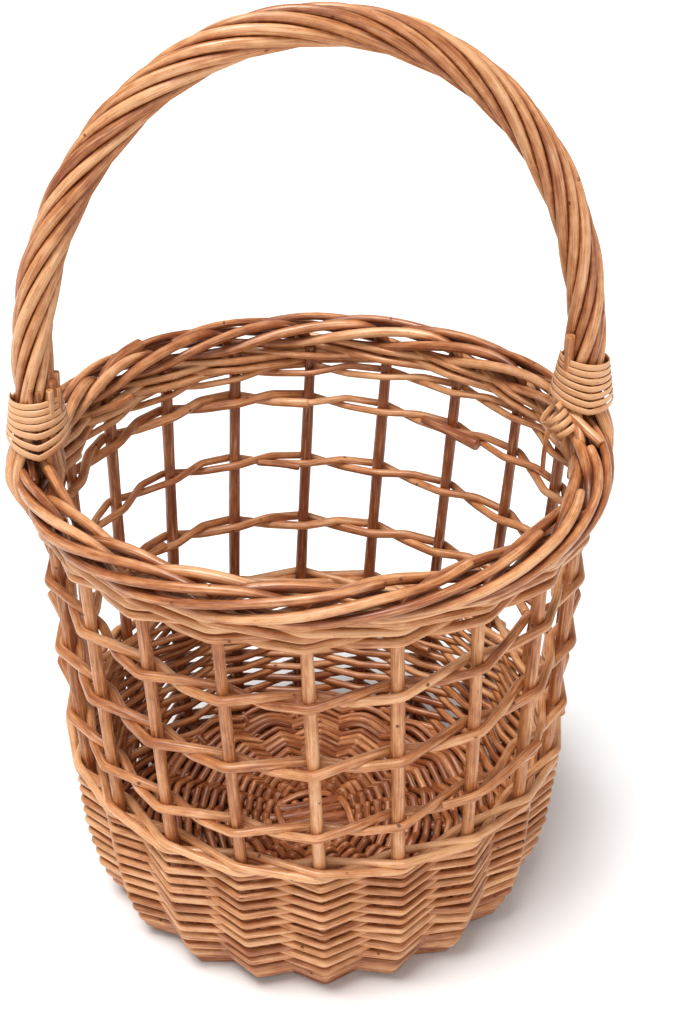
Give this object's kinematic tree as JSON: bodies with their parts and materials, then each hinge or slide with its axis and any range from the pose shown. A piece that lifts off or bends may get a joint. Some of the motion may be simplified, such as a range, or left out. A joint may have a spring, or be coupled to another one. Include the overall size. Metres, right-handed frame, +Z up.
{
  "type": "egg basket",
  "caption": "Round woven willow basket with an open fitched wall, closed foot and rim bands, a rolled border and a fixed roped bow handle.",
  "frame": {"origin": "centre of the basket on the surface it stands on", "axes": "+Z up, +X from the left handle foot to the right one, -Y the front"},
  "size_m": [0.2427, 0.241, 0.3851],
  "materials": {
    "stick": "steamed willow, satin",
    "stake": "steamed willow, satin",
    "weaver": "steamed willow, satin",
    "border": "steamed willow, satin",
    "handle": "steamed willow, satin",
    "skein": "split willow skein, satin"
  },
  "bodies": {
    "root": {"stake_01": "stake", "stake_02": "stake", "stake_03": "stake", "stake_04": "stake", "stake_05": "stake", "stake_06": "stake", "stake_07": "stake", "stake_08": "stake", "stake_09": "stake", "stake_10": "stake", "stake_11": "stake", "stake_12": "stake", "stake_13": "stake", "stake_14": "stake", "stake_15": "stake", "stake_16": "stake", "stake_17": "stake", "stake_18": "stake", "stake_19": "stake", "stake_20": "stake", "passed_base_stick_1": "stick", "pierced_base_stick_1": "stick", "passed_base_stick_2": "stick", "pierced_base_stick_2": "stick", "passed_base_stick_3": "stick", "pierced_base_stick_3": "stick", "passed_base_stick_4": "stick", "pierced_base_stick_4": "stick", "passed_base_stick_5": "stick", "pierced_base_stick_5": "stick", "base_weave": "weaver", "upsett": "weaver", "lower_weave": "weaver", "lower_wale": "weaver", "upper_wale": "weaver", "fitch_1_first_weaver": "weaver", "fitch_1_second_weaver": "weaver", "fitch_2_first_weaver": "weaver", "fitch_2_second_weaver": "weaver", "fitch_3_first_weaver": "weaver", "fitch_3_second_weaver": "weaver", "border": "border", "handle_bow": "handle", "handle_rod_1": "handle", "handle_rod_2": "handle", "handle_rod_3": "handle", "handle_rod_4": "handle", "handle_rod_5": "handle", "handle_rod_6": "handle", "handle_rod_7": "handle", "handle_rod_8": "handle", "handle_binding_left": "skein", "handle_binding_right": "skein"}
  },
  "joints": []
}
